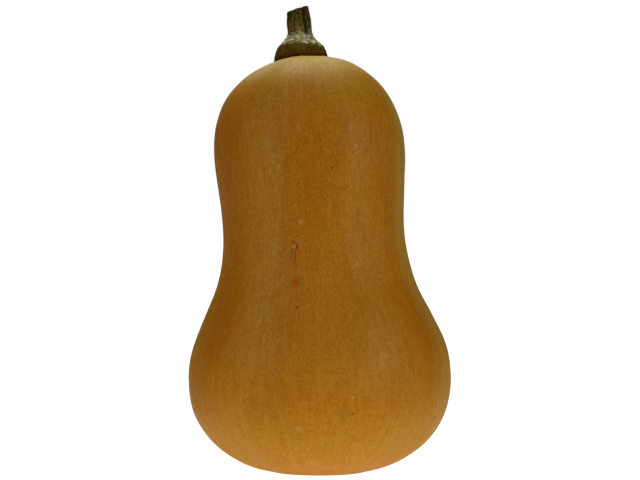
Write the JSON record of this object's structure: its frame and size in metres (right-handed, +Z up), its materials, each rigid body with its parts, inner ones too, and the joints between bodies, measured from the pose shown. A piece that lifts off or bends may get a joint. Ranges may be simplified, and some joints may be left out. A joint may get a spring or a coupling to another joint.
{
  "type": "butternut squash",
  "caption": "Whole butternut squash standing on its blossom end: bulbous base, broad straight neck, rounded crown and a short ridged dry stem.",
  "frame": {"origin": "centre of the bounding box, on the plane the squash stands on", "axes": "+Z up from the blossom end towards the stem, -Y towards the pictured side, +X to that side's right"},
  "size_m": [0.1306, 0.1296, 0.2346],
  "materials": {
    "skin": "satin",
    "stem": "rough"
  },
  "bodies": {
    "root": {"fruit": "skin", "stem": "stem"}
  },
  "joints": []
}
